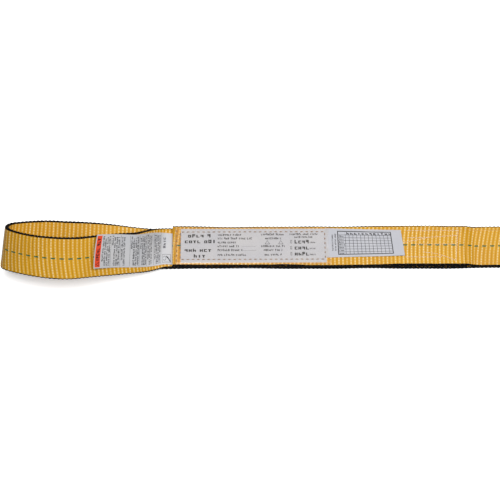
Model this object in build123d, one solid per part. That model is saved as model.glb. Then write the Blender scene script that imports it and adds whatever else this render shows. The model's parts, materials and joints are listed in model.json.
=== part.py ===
from build123d import *
import math
import os

# Flat eye-and-eye web sling, two ply, laid on a floor with its labels up.
# Construction frame: X along the sling (labelled eye towards -X), Y across the webbing, Z up.
# x = 0 is the folded end of the top ply, y = 0 the middle of the body, z = 0 the floor.
# Every part is moved at the end so that the origin is the left eye's bearing centre.

# ---------------------------------------------------------------- driving dimensions, mm, degrees
WIDTH = 50.8                # webbing width
PLY = 4.4                   # thickness of one ply
GAP = 0.1                   # seam between stitched plies
BODY_LENGTH = 761.0         # throat to throat
BEARING_RADIUS = 15.5       # inside radius of an eye's bearing end
BEARING_HALF_WRAP = 58.0    # how far the round bearing end reaches each side of the tip
HALF_OPENING = 31.5         # eye's axis to the middle of a leg, at the widest place
EYE_REACH = 176.0           # throat to bearing centre
EYE_ROLL = 38.0             # how far the open eye is rolled out of the body's plane
EYE_YAW = 4.0               # how far the eye's axis turns across the webbing
CROWN_RADIUS = 60.0         # bend of the upper leg where it levels off
LEG_SLOPE = 26.0            # slope of the upper leg to the eye's axis
HEM = 4.6                   # height of the folded end of the top ply
LAP_END = 350.0             # where the hidden end of the webbing stops
LAP_BARE = 2.0              # the top ply stays level this far past it
LAP_RAMP = 12.0             # and steps down over this length
BENDS = (400.0, 520.0, 640.0)   # the three places where the body bends
BEND_LIMIT = 50.0
SWING_LIMIT = 70.0          # room for an eye's swing, each way from flat
SWING_PIVOT = 5.0           # throat to the axis on which an eye swings
FORK = 6.0                  # throat to where an eye's two legs start to part
LEG_PIVOT = 46.0            # throat to the upper leg's own pivot
CLOSE_LIMIT = 20.0          # how far the upper leg closes the eye
TIP_FOLLOWS = 1.07          # turn of the tip's front half per turn of the upper leg
APEX_FOLLOWS = 1.23         # turn of the tip's back half per turn of the upper leg
RUNNING = 0.05              # clearance in a pivot
ROOT_ROOM = 0.1             # the same at the upper leg's pivot, in a twisted ply
SHOULDER_ROOM = 0.15        # the same at the front shoulder
APEX_ROOM = 0.3             # the same at the tip, the last pivot of the linkage
OVERTRAVEL = 1.0            # every seat leaves room for this much more than the range
OPEN_PIVOT_GAP = 1.5        # room where the eye's linkage is left open
FLOOR_GAP = 0.05            # the open eyes stand this far off the floor
STATIONS = 9                # cross sections along a twisted ply

STACK = PLY + GAP / 2       # half the thickness of two plies
LEVEL = PLY + GAP           # height from one ply to the next
HALF = WIDTH / 2
MIDDLE = BODY_LENGTH / 2

# ---------------------------------------------------------------- the open eye's own frame
roll = math.radians(EYE_ROLL)
yaw = math.radians(EYE_YAW)
BODY_ACROSS = Vector(0, math.cos(roll), math.sin(roll))
RISE = Vector(0, -math.sin(roll), math.cos(roll))
TIPWARD = Vector(-1, 0, 0) * math.cos(yaw) + BODY_ACROSS * math.sin(yaw)
ACROSS = BODY_ACROSS * math.cos(yaw) + Vector(1, 0, 0) * math.sin(yaw)

# In that frame a point is (along, up): along the axis from the bearing centre, up along RISE.
wrap = math.radians(BEARING_HALF_WRAP)
BEARING = BEARING_RADIUS + PLY / 2
FLANK = (HALF_OPENING - BEARING * math.sin(wrap)) / (1 - math.sin(wrap))
FLANK_ALONG = (BEARING - FLANK) * math.cos(wrap)
FLANK_UP = HALF_OPENING - FLANK
APEX = (BEARING, 0.0)
FRONT_SHOULDER = (FLANK_ALONG, HALF_OPENING)
BACK_SHOULDER = (FLANK_ALONG, -HALF_OPENING)
slope = math.radians(LEG_SLOPE)
LEG_TOP = (FLANK_ALONG - CROWN_RADIUS * math.sin(slope),
           HALF_OPENING - CROWN_RADIUS * (1 - math.cos(slope)))
LEG_ROOT_ALONG = LEG_PIVOT - EYE_REACH
LEG_ROOT = (LEG_ROOT_ALONG, LEG_TOP[1] - (LEG_TOP[0] - LEG_ROOT_ALONG) * math.tan(slope))

# The lower leg's outer edge rests on the floor at the back shoulder.
shoulder_height = HALF * math.sin(roll) * math.cos(yaw) + PLY / 2 * math.cos(roll) + FLOOR_GAP
SHOULDER = Vector(-EYE_REACH - FLANK_ALONG * math.cos(yaw), HALF * (1 - math.cos(roll)), shoulder_height)
BEARING_CENTRE = SHOULDER - TIPWARD * BACK_SHOULDER[0] - RISE * BACK_SHOULDER[1]
EYE_PLANE = Plane(origin=BEARING_CENTRE, x_dir=TIPWARD, z_dir=ACROSS)


def eye_point(place):
    """A point of the eye's frame in the construction frame."""
    return BEARING_CENTRE + TIPWARD * place[0] + RISE * place[1]


# ---------------------------------------------------------------- flat outlines
def rectangle(left, right, bottom, top):
    """A rectangle between four limits."""
    return Pos((left + right) / 2, (bottom + top) / 2) * Rectangle(right - left, top - bottom)


def swing_room(axis, reach, heading, turns, clearance=RUNNING):
    """The space that a rounded strip of half thickness reach sweeps beside its own pivot."""
    room = Circle(reach + clearance)
    strip = rectangle(0, 4 * reach, -reach - clearance, reach + clearance)
    for turn in turns:
        room += Rot(0, 0, heading + turn) * strip
    return Pos(*axis) * room


def arc_strip(centre, radius, start, sweep):
    """One ply bent to an arc, given by its middle radius."""
    inner = CenterArc(centre, radius - PLY / 2, start, sweep)
    outer = CenterArc(centre, radius + PLY / 2, start, sweep)
    return make_face([inner, outer, Line(inner @ 0, outer @ 0), Line(inner @ 1, outer @ 1)])


def straight_strip(start, end):
    """One ply lying straight between two points."""
    length = math.dist(start, end)
    heading = math.degrees(math.atan2(end[1] - start[1], end[0] - start[0]))
    return Pos(*start) * Rot(0, 0, heading) * rectangle(0, length, -PLY / 2, PLY / 2)


def across_body(outline):
    """Extrude an outline of the XZ plane across the webbing."""
    return extrude(Plane.XZ * outline, HALF, both=True)


def across_eye(outline):
    """Extrude an outline of the eye's frame across the webbing."""
    return extrude(EYE_PLANE * outline, HALF, both=True)


# ---------------------------------------------------------------- twisted plies near the throat
def between(first, last, first_slope, last_slope, share):
    """Cubic from first to last with the given slopes per unit share."""
    smooth = share * share * (3 - 2 * share)
    lead = share * (1 - share) ** 2
    tail = share * share * (share - 1)
    return first + (last - first) * smooth + first_slope * lead + last_slope * tail


def ribbon(centres, generators, width, thickness, lift=0.0, shift=0.0):
    """Loft a strip through stations, lift off its middle surface and shift across the webbing."""
    sections = []
    for number, (centre, generator) in enumerate(zip(centres, generators)):
        behind = centres[max(number - 1, 0)]
        ahead = centres[min(number + 1, len(centres) - 1)]
        normal = generator.cross(ahead - behind).normalized()
        heading = normal.cross(generator).normalized()
        plane = Plane(origin=centre + normal * lift + generator * shift, x_dir=generator, z_dir=heading)
        sections.append(plane * Rectangle(width, thickness))
    return loft(sections)


def generator_at(share):
    """Direction across the webbing when share of the roll and yaw is reached."""
    turned = roll * share
    turned_yaw = yaw * share
    level = Vector(0, math.cos(turned), math.sin(turned))
    return level * math.cos(turned_yaw) + Vector(1, 0, 0) * math.sin(turned_yaw)


def smoothstep(share):
    """Share of a change that starts and ends gently."""
    return share * share * (3 - 2 * share)


def front_root_stations(last=1.0):
    """Centres and generators of the upper leg, from the fork over a share of the way to its pivot."""
    root = eye_point(LEG_ROOT)
    direction = TIPWARD * math.cos(slope) + RISE * math.sin(slope)
    start = Vector(-FORK, 0, LEVEL + PLY / 2)
    span = start.X - root.X
    run = span / -direction.X
    centres = []
    generators = []
    for number in range(STATIONS):
        share = last * number / (STATIONS - 1)
        y = between(start.Y, root.Y, 0, direction.Y * run, share)
        z = between(start.Z, root.Z, 0, direction.Z * run, share)
        centres.append(Vector(start.X - span * share, y, z))
        generators.append(generator_at(smoothstep(share)))
    return centres, generators


def back_leg_stations():
    """Centres and generators of the lower leg: one edge stays on the floor as it rolls."""
    span = -FORK - SHOULDER.X
    centres = []
    generators = []
    for number in range(STATIONS):
        share = number / (STATIONS - 1)
        turned = roll * smoothstep(share)
        z = HALF * math.sin(turned) + PLY / 2 * math.cos(turned)
        z += (SHOULDER.Z - HALF * math.sin(roll) - PLY / 2 * math.cos(roll)) * smoothstep(share)
        centres.append(Vector(-FORK - span * share, HALF * (1 - math.cos(turned)), z))
        generators.append(generator_at(smoothstep(share)))
    return centres, generators


def root_outline():
    """Two flat plies from the swing axis to the fork, with the round knuckle of the swing axis."""
    knuckle = Pos(-SWING_PIVOT, STACK) * Circle(STACK) & rectangle(-FORK, 0, 0, 2 * STACK)
    return rectangle(-FORK, -SWING_PIVOT, 0, 2 * STACK) + knuckle - seam(-FORK, 0)


def seam(left, right, level=1):
    """The thin gap between two plies."""
    height = level * LEVEL
    return rectangle(left, right, height - GAP, height)


def lower_and_upper(outline):
    """Split a two-ply outline's faces into the lower and the upper ply."""
    faces = outline.faces().sort_by(Axis.Y)
    return faces[0], faces[-1]


# ---------------------------------------------------------------- one eye, built as the left one
def eye_throat_front():
    """Upper ply between the swing axis and the upper leg's pivot."""
    upper = lower_and_upper(root_outline())[1]
    twisted = ribbon(*front_root_stations(), WIDTH, PLY)
    turns = (-CLOSE_LIMIT - OVERTRAVEL, OVERTRAVEL)
    room = swing_room(LEG_ROOT, PLY / 2, LEG_SLOPE, turns, ROOT_ROOM)
    return across_body(upper) + twisted - extrude(EYE_PLANE * room, WIDTH, both=True)


def eye_back_leg():
    """Lower ply from the swing axis to the back shoulder, where the linkage is open."""
    lower = lower_and_upper(root_outline())[0]
    twisted = ribbon(*back_leg_stations(), WIDTH, PLY)
    room = Pos(*BACK_SHOULDER) * Circle(PLY / 2 + OPEN_PIVOT_GAP)
    return across_body(lower) + twisted - extrude(EYE_PLANE * room, WIDTH, both=True)


def eye_front_leg():
    """Upper ply from its pivot over the crown to the front shoulder."""
    outline = straight_strip(LEG_ROOT, LEG_TOP) + Pos(*LEG_ROOT) * Circle(PLY / 2)
    crown = (FLANK_ALONG, HALF_OPENING - CROWN_RADIUS)
    outline += arc_strip(crown, CROWN_RADIUS, 90, LEG_SLOPE)
    turns = (-OVERTRAVEL, CLOSE_LIMIT * TIP_FOLLOWS + OVERTRAVEL)
    outline -= swing_room(FRONT_SHOULDER, PLY / 2, 0, turns, SHOULDER_ROOM)
    return across_eye(outline)


def eye_front_tip():
    """Front half of the tip: long flank and half of the round bearing end."""
    flank = arc_strip((FLANK_ALONG, FLANK_UP), FLANK, BEARING_HALF_WRAP, 90 - BEARING_HALF_WRAP)
    outline = flank + arc_strip((0, 0), BEARING, 0, BEARING_HALF_WRAP)
    outline += Pos(*FRONT_SHOULDER) * Circle(PLY / 2)
    turns = (-CLOSE_LIMIT * APEX_FOLLOWS - OVERTRAVEL, OVERTRAVEL)
    outline -= swing_room(APEX, PLY / 2, -90, turns, APEX_ROOM)
    return across_eye(outline)


def eye_back_tip():
    """Back half of the tip, ending at the open pivot."""
    flank = arc_strip((FLANK_ALONG, -FLANK_UP), FLANK, -90, 90 - BEARING_HALF_WRAP)
    outline = flank + arc_strip((0, 0), BEARING, -BEARING_HALF_WRAP, BEARING_HALF_WRAP)
    outline += Pos(*APEX) * Circle(PLY / 2)
    outline += Pos(*BACK_SHOULDER) * Circle(PLY / 2)
    return across_eye(outline)


EYE_PARTS = {
    "throat_front_ply": eye_throat_front,
    "back_leg": eye_back_leg,
    "front_leg": eye_front_leg,
    "front_tip": eye_front_tip,
    "back_tip": eye_back_tip,
}


# ---------------------------------------------------------------- the body
def labelled_plies():
    """Back, lap and top ply of the labelled end, between the swing axis and the first bend."""
    end = BENDS[0]
    step_start = LAP_END + LAP_BARE
    step_end = step_start + LAP_RAMP
    room = swing_room((-SWING_PIVOT, STACK), STACK, 180, (-SWING_LIMIT, SWING_LIMIT))
    room += swing_room((end, STACK), STACK, 0, (-BEND_LIMIT, BEND_LIMIT))
    back = rectangle(-SWING_PIVOT, end, 0, PLY) - room
    lap = rectangle(-SWING_PIVOT, LAP_END, LEVEL, LEVEL + PLY) - room
    low = 2 * LEVEL
    under = [(HEM / 2, low), (step_start, low), (step_end, LEVEL), (end, LEVEL)]
    over = [(x, z + PLY) for x, z in reversed(under)]
    step = Polyline(*under, *over, close=True)
    top = make_face(step) + Pos(HEM / 2, low + HEM / 2) * Circle(HEM / 2) - room
    return across_body(back), across_body(lap), across_body(top)


def segment_plies(start, end, limit):
    """Lower and upper ply between two pivots of the body."""
    outline = rectangle(start, end, 0, 2 * STACK) + Pos(start, STACK) * Circle(STACK)
    outline -= swing_room((end, STACK), STACK, 0, (-limit, limit))
    outline -= seam(start - 2 * STACK, end)
    lower, upper = lower_and_upper(outline)
    return across_body(lower), across_body(upper)


# ---------------------------------------------------------------- threads, labels and their cover
THREAD = 0.8                # width of a line of stitches
PROUD = 0.4                 # how far stitches stand out
TOUCH = 0.02                # clearance under a soft part
FACE_Z = 2 * LEVEL + PLY    # label side of the three-ply part
SHEET = 0.3                 # thickness of a printed label
VINYL = 0.4                 # thickness of the clear cover
LABEL_FROM = 10.0           # the printed label, measured from the throat
LABEL_TO = 184.0
LABEL_WIDTH = 42.6
LABEL_SEAM_FROM = 9.0       # the stitches round it
LABEL_SEAM_TO = 182.5
STITCH_ROW = 17.0           # middle of the label to its rows of stitches
COVER_FROM = 5.5            # the clear cover over it
COVER_TO = 189.0
COVER_WIDTH = 47.0
INSPECTION_TO = 275.5       # free end of the inspection label
INSPECTION_WIDTH = 34.0
INSPECTION_SHIFT = 3.0      # the inspection label lies nearer the upper edge of the body
WARNING_ROOT = 0.86         # share of the upper leg's root under the sewn end of the warning label
WARNING_FROM = 5.0          # upper leg's pivot to the label's free part
WARNING_TO = 98.0           # throat to the free end of the warning label
WARNING_WIDTH = 37.5
WARNING_SHIFT = 3.6         # the warning label lies nearer the upper edge of the leg
WARNING_GAP = 0.14          # room under the warning label
FLAP_GAP = 0.6              # room between a flap's hinge and what lies before it
EDGE_ROW = 19.0             # middle of the webbing to its long rows of stitches
EDGE_ROW_MARGIN = 3.0       # clear cover to the start of the long rows
SEAM_MARGIN = 12.0          # bare length each side of a bend
LAP_ROWS = (-17.0, -9.0, 1.5, 15.0)     # heights of the rows that close the lap
LAP_SEAM_FROM = 281.0       # where those rows start
LAP_SEAM_TO = 336.0         # where they stop
LAP_BAR = 341.0             # the bar of stitches across the lap's end
LAP_BAR_LEAN = 1.5          # how far the bar's ends lean out of square
LAP_SEAM_MARGIN = 6.0       # bare length before the lap's rows
THROAT_ROWS = (-14.0, -5.0, 5.0, 14.0)  # heights of the rows that close the unlabelled throat
THROAT_SEAM_FROM = 62.0     # where those rows start, from the unlabelled throat
THROAT_SEAM_TO = 12.0       # where they stop
THROAT_BAR = 8.0            # the bar of stitches across their ends
THROAT_SEAM_MARGIN = 8.0    # bare length before those rows


def slab(left, right, middle, width, bottom, thickness):
    """A flat sheet from left to right, lying on the height bottom."""
    sheet = Box(right - left, width, thickness)
    return Pos((left + right) / 2, middle, bottom + thickness / 2) * sheet


def thread_line(start, end, bottom):
    """A raised line of stitches between two points of the XY plane."""
    length = math.dist(start, end) + THREAD
    heading = math.degrees(math.atan2(end[1] - start[1], end[0] - start[0]))
    middle = Pos((start[0] + end[0]) / 2, (start[1] + end[1]) / 2, bottom + TOUCH + PROUD / 2)
    return middle * Rot(0, 0, heading) * Box(length, THREAD, PROUD)


def thread_frame(left, right, half_height, bottom):
    """Stitches sewn round a rectangle, as one closed frame."""
    middle = Pos((left + right) / 2, 0, bottom + TOUCH + PROUD / 2)
    outside = Box(right - left + THREAD, 2 * half_height + THREAD, PROUD)
    inside = Box(right - left - THREAD, 2 * half_height - THREAD, 2 * PROUD)
    return middle * (outside - inside)


def label_stitching():
    """The line of stitches round the identification label, through its cover."""
    return thread_frame(LABEL_SEAM_FROM, LABEL_SEAM_TO, STITCH_ROW, FACE_Z + SHEET + VINYL + 2 * TOUCH)


def lap_stitching():
    """The stitch pattern over the end of the lap: long rows closed by one slanting bar."""
    bar = thread_line((LAP_BAR + LAP_BAR_LEAN, -EDGE_ROW), (LAP_BAR - LAP_BAR_LEAN, EDGE_ROW), FACE_Z)
    rows = [thread_line((LAP_SEAM_FROM, height), (LAP_SEAM_TO, height), FACE_Z) for height in LAP_ROWS]
    return [bar, *rows]


def body_stitching(start, end, height):
    """Two long rows of stitches that join the plies of one stretch."""
    return [thread_line((start, side), (end, side), height) for side in (-EDGE_ROW, EDGE_ROW)]


def throat_stitching():
    """The bar pattern that closes the unlabelled eye's throat."""
    start = BODY_LENGTH - THROAT_SEAM_FROM
    stop = BODY_LENGTH - THROAT_SEAM_TO
    bar_at = BODY_LENGTH - THROAT_BAR
    bar = thread_line((bar_at, -EDGE_ROW), (bar_at, EDGE_ROW), 2 * STACK)
    rows = [thread_line((start, height), (stop, height), 2 * STACK) for height in THROAT_ROWS]
    return [bar, *rows]


def warning_root():
    """Sewn end of the warning label, which follows the twisted root of the upper leg."""
    lift = PLY / 2 + SHEET / 2 + WARNING_GAP
    return ribbon(*front_root_stations(WARNING_ROOT), WARNING_WIDTH, SHEET, lift, WARNING_SHIFT)


def warning_flap():
    """Free part of the warning label, lying on the upper leg."""
    lift = PLY / 2 + SHEET / 2 + WARNING_GAP
    first = WARNING_FROM / math.cos(slope) + lift * math.tan(slope)
    last = (WARNING_TO - LEG_PIVOT) / math.cos(slope) + lift * math.tan(slope)
    strip = rectangle(first, last, lift - SHEET / 2, lift + SHEET / 2)
    strip = Pos(*LEG_ROOT) * Rot(0, 0, LEG_SLOPE) * strip
    flap = extrude(EYE_PLANE * strip, WARNING_WIDTH / 2, both=True)
    return Pos(ACROSS * WARNING_SHIFT) * flap


# ---------------------------------------------------------------- write every part
def write(name, shape):
    """Move a part to the final frame and write it."""
    if isinstance(shape, (list, tuple)):
        shape = Compound(children=list(shape))
    moved = Pos(-BEARING_CENTRE.X, -BEARING_CENTRE.Y, -BEARING_CENTRE.Z) * shape
    export_step(moved, "parts/" + name + ".step")


os.makedirs("parts", exist_ok=True)

other_end = Pos(MIDDLE, 0, 0) * Rot(0, 0, 180) * Pos(-MIDDLE, 0, 0)
for name, build in EYE_PARTS.items():
    part = build()
    write("left_" + name, part)
    write("right_" + name, other_end * part)

back_ply, lap_ply, top_ply = labelled_plies()
write("labelled_back_ply", back_ply)
write("lap_ply", lap_ply)
write("labelled_top_ply", top_ply)

ends = (*BENDS, BODY_LENGTH + SWING_PIVOT)
limits = (BEND_LIMIT, BEND_LIMIT, SWING_LIMIT)
for number, limit in enumerate(limits):
    lower, upper = segment_plies(ends[number], ends[number + 1], limit)
    name = ("second", "third", "fourth")[number]
    write(name + "_back_ply", lower)
    write(name + "_top_ply", upper)
    first = ends[number] + SEAM_MARGIN
    last = min(ends[number + 1] - SEAM_MARGIN, BODY_LENGTH - THROAT_SEAM_FROM - THROAT_SEAM_MARGIN)
    write(name + "_stitching", body_stitching(first, last, 2 * STACK))

write("lap_stitching", lap_stitching())
edge_rows = body_stitching(COVER_TO + EDGE_ROW_MARGIN, LAP_SEAM_FROM - LAP_SEAM_MARGIN, FACE_Z)
write("left_edge_stitching", edge_rows)
write("right_throat_stitching", throat_stitching())
write("label_stitching", label_stitching())
write("id_label", slab(LABEL_FROM, LABEL_TO, 0, LABEL_WIDTH, FACE_Z + TOUCH, SHEET))
write("clear_cover", slab(COVER_FROM, COVER_TO, 0, COVER_WIDTH, FACE_Z + SHEET + 2 * TOUCH, VINYL))
write("inspection_label", slab(COVER_TO + FLAP_GAP, INSPECTION_TO, INSPECTION_SHIFT, INSPECTION_WIDTH,
                               FACE_Z + PROUD + 2 * TOUCH, SHEET))
write("warning_label_root", warning_root())
write("warning_label", warning_flap())
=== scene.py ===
import json
import math
import random

import bpy
import numpy as np
from mathutils import Matrix, Vector


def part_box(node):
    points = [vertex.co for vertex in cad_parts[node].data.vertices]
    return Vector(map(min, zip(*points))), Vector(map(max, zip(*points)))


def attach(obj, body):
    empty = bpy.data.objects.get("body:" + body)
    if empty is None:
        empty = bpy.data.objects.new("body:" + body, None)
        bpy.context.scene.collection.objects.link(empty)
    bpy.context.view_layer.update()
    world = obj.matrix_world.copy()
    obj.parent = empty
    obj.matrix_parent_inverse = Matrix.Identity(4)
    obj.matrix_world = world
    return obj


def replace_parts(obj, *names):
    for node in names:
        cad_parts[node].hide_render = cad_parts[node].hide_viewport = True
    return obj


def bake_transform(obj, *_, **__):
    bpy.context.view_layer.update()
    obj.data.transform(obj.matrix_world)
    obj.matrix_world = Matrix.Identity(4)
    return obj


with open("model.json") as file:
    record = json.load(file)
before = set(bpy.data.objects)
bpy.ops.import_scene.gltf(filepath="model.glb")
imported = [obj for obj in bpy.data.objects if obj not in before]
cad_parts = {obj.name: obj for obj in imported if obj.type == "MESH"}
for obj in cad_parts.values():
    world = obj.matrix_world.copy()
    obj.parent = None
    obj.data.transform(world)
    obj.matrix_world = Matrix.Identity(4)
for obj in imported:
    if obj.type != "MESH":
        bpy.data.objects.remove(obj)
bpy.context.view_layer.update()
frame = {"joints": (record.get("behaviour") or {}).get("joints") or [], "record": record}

MM = 0.001
JOINTS = {joint["name"]: joint for joint in frame["joints"]}
MOUNTS = {mount["name"]: mount for mount in frame["record"]["mounts"]}


# ================================================================ places and sizes, from the frame
def pivot(name):
    """Where a joint turns."""
    return np.array(JOINTS[name]["pos_m"], float)


def unit(vector):
    """The vector at length one, for one vector or an array of them."""
    vector = np.asarray(vector, float)
    return vector / np.linalg.norm(vector, axis=-1, keepdims=True)


def corners(node):
    """Lowest and highest corner of a CAD node."""
    return [np.array(corner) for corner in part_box(node)]


BACK_LOW, BACK_HIGH = corners("labelled_back_ply")
LAP_LOW, LAP_HIGH = corners("lap_ply")
THROAT_X = corners("labelled_top_ply")[0][0]
WIDTH = BACK_HIGH[1] - BACK_LOW[1]
HALF = WIDTH / 2
PLY = BACK_HIGH[2] - BACK_LOW[2]                # thickness of one ply
LEVEL = LAP_LOW[2] - BACK_LOW[2]                # height from one ply to the next
FLOOR_Z = BACK_LOW[2]
BODY_Y = (BACK_LOW[1] + BACK_HIGH[1]) / 2       # the body's middle
LAP_END_X = LAP_HIGH[0]                         # where the lap ply ends inside the body
STEP_LENGTH = 14 * MM           # length over which the top ply steps on to the lap
FORK = THROAT_X - pivot("left_eye_swing")[0] + 1 * MM       # throat to where the legs part
OTHER_THROAT_X = pivot("right_eye_swing")[0] - (THROAT_X - pivot("left_eye_swing")[0])
MIDDLE_X = (THROAT_X + OTHER_THROAT_X) / 2      # the eyes are half a turn apart about this place

# The left eye lies in a plane of its own: its directions, then places and sizes in that plane.
ACROSS = np.array(MOUNTS["left_eye_bearing"]["axis"], float)
TIPWARD = unit(pivot("left_apex_turn"))
RISE = np.cross(ACROSS, TIPWARD)
BEARING = np.linalg.norm(pivot("left_apex_turn"))       # radius of the webbing at the tip
SHOULDER_ALONG = pivot("left_front_tip_turn") @ TIPWARD
SHOULDER_UP = pivot("left_front_tip_turn") @ RISE
LEG_ROOT = (pivot("left_eye_close") @ TIPWARD, pivot("left_eye_close") @ RISE)
WRAP = math.radians(58)         # how far the round bearing end reaches each side of the tip
SLOPE = math.radians(26)        # slope of the upper leg
CROWN = 60 * MM                 # bend of the upper leg where it levels off
FLANK = BEARING - SHOULDER_ALONG / math.cos(WRAP)       # radius between the tip and a shoulder
ROLL = math.atan2(ACROSS[2], ACROSS[1])         # how far the eye is turned about the body's length
YAW = math.asin(ACROSS[0])                      # and about the vertical
LEG_HEADING = TIPWARD * math.cos(SLOPE) + RISE * math.sin(SLOPE)
FLARE = math.radians(5.5)       # how far the webbing tips out at the eye's tip


def in_eye(along, up):
    """A point of the left eye's own plane."""
    return TIPWARD * along + RISE * up


def mirrored(points):
    """The same points in the other eye: half a turn about the sling's middle."""
    turned = np.array(points, float)
    turned[..., 0] = 2 * MIDDLE_X - turned[..., 0]
    turned[..., 1] = 2 * BODY_Y - turned[..., 1]
    return turned


# ================================================================ the webbing's route
RAW_STEP = 1.0 * MM             # spacing of the points that the route is worked out at


def smoothstep(share):
    """From 0 to 1, starting and ending gently."""
    share = np.clip(share, 0, 1)
    return share * share * (3 - 2 * share)


def hermite(first, last, first_slope, last_slope, share):
    """Cubic between two values with the given slopes."""
    lead = share * (1 - share) ** 2
    tail = share * share * (share - 1)
    return first + (last - first) * smoothstep(share) + first_slope * lead + last_slope * tail


def generators(share):
    """Directions across the webbing where a share of the eye's roll and yaw is reached."""
    roll = ROLL * share
    yaw = YAW * share
    return np.stack([np.sin(yaw), np.cos(roll) * np.cos(yaw), np.sin(roll) * np.cos(yaw)], axis=1)


def spaced(length):
    """Shares from 0 to 1 at about RAW_STEP."""
    return np.linspace(0, 1, max(2, int(math.ceil(length / RAW_STEP)) + 1))


def straight_run(x_from, x_to, height):
    """A stretch of the body, height being the middle of the ply above the floor."""
    share = spaced(abs(x_to - x_from))
    centres = np.zeros((len(share), 3))
    centres[:, 0] = x_from + (x_to - x_from) * share
    centres[:, 1] = BODY_Y
    centres[:, 2] = FLOOR_Z + height
    across = np.tile([0.0, 1.0, 0.0], (len(share), 1))
    return centres, across


def top_run(x_from, x_to):
    """The top ply, which steps up on to the end of the lap."""
    centres, across = straight_run(x_from, x_to, LEVEL + PLY / 2)
    climb = (LAP_END_X + STEP_LENGTH - centres[:, 0]) / STEP_LENGTH
    centres[:, 2] += LEVEL * smoothstep(climb)
    return centres, across


def front_root():
    """The upper leg from the fork to its pivot."""
    root = pivot("left_eye_close")
    start = np.array([THROAT_X - FORK, BODY_Y, FLOOR_Z + LEVEL + PLY / 2])
    span = start[0] - root[0]
    run = span / -LEG_HEADING[0]
    share = spaced(span)
    centres = np.zeros((len(share), 3))
    centres[:, 0] = start[0] - span * share
    for axis in (1, 2):
        centres[:, axis] = hermite(start[axis], root[axis], 0, LEG_HEADING[axis] * run, share)
    return centres, generators(smoothstep(share))


def back_root():
    """The lower leg from the shoulder to the fork: one edge stays on the floor as it rolls flat."""
    shoulder = in_eye(SHOULDER_ALONG, -SHOULDER_UP)
    span = THROAT_X - FORK - shoulder[0]
    share = 1 - spaced(span)
    turned = ROLL * smoothstep(share)
    lifted = shoulder[2] - FLOOR_Z - HALF * math.sin(ROLL) - PLY / 2 * math.cos(ROLL)
    centres = np.zeros((len(share), 3))
    centres[:, 0] = THROAT_X - FORK - span * share
    centres[:, 1] = BODY_Y + HALF * (1 - np.cos(turned))
    centres[:, 2] = FLOOR_Z + HALF * np.sin(turned) + PLY / 2 * np.cos(turned)
    centres[:, 2] += lifted * smoothstep(share)
    return centres, generators(smoothstep(share))


def eye_line(start, end):
    """A straight stretch in the eye's plane."""
    share = spaced(math.dist(start, end))[:, None]
    centres = in_eye(start[0] + (end[0] - start[0]) * share, start[1] + (end[1] - start[1]) * share)
    return centres, np.tile(ACROSS, (len(share), 1))


def eye_arc(centre, radius, start, end):
    """A bent stretch in the eye's plane, between two angles. Towards the tip it flares a little."""
    share = spaced(radius * abs(end - start))
    angle = (start + (end - start) * share)[:, None]
    along = centre[0] + radius * np.cos(angle)
    up = centre[1] + radius * np.sin(angle)
    flare = FLARE * smoothstep((along - SHOULDER_ALONG) / (BEARING - SHOULDER_ALONG))
    return in_eye(along, up), ACROSS * np.cos(flare) - TIPWARD * np.sin(flare)


def left_loop():
    """Stretches of the left eye in order, each with the mark at its start."""
    quarter = math.pi / 2
    leg_top = (SHOULDER_ALONG - CROWN * math.sin(SLOPE), SHOULDER_UP - CROWN * (1 - math.cos(SLOPE)))
    flank_up = SHOULDER_UP - FLANK
    return [
        ("fork", front_root()),
        ("leg_root", eye_line(LEG_ROOT, leg_top)),
        (None, eye_arc((SHOULDER_ALONG, SHOULDER_UP - CROWN), CROWN, quarter + SLOPE, quarter)),
        ("shoulder", eye_arc((SHOULDER_ALONG, flank_up), FLANK, quarter, WRAP)),
        ("bearing", eye_arc((0, 0), BEARING, WRAP, 0)),
        ("apex", eye_arc((0, 0), BEARING, 0, -WRAP)),
        ("lower_bearing", eye_arc((SHOULDER_ALONG, -flank_up), FLANK, -WRAP, -quarter)),
        ("lower_shoulder", back_root()),
    ]


def right_loop():
    """The other eye, travelled from its lower leg to its upper leg."""
    stretches = left_loop()
    marks = [name for name, _ in stretches[1:]] + ["lower_fork"]
    turned = []
    for mark, (_, (centres, across)) in zip(marks, stretches):
        flipped = across.copy()
        flipped[:, 2] *= -1
        turned.append((mark, (mirrored(centres)[::-1], flipped[::-1])))
    return turned[::-1]


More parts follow.
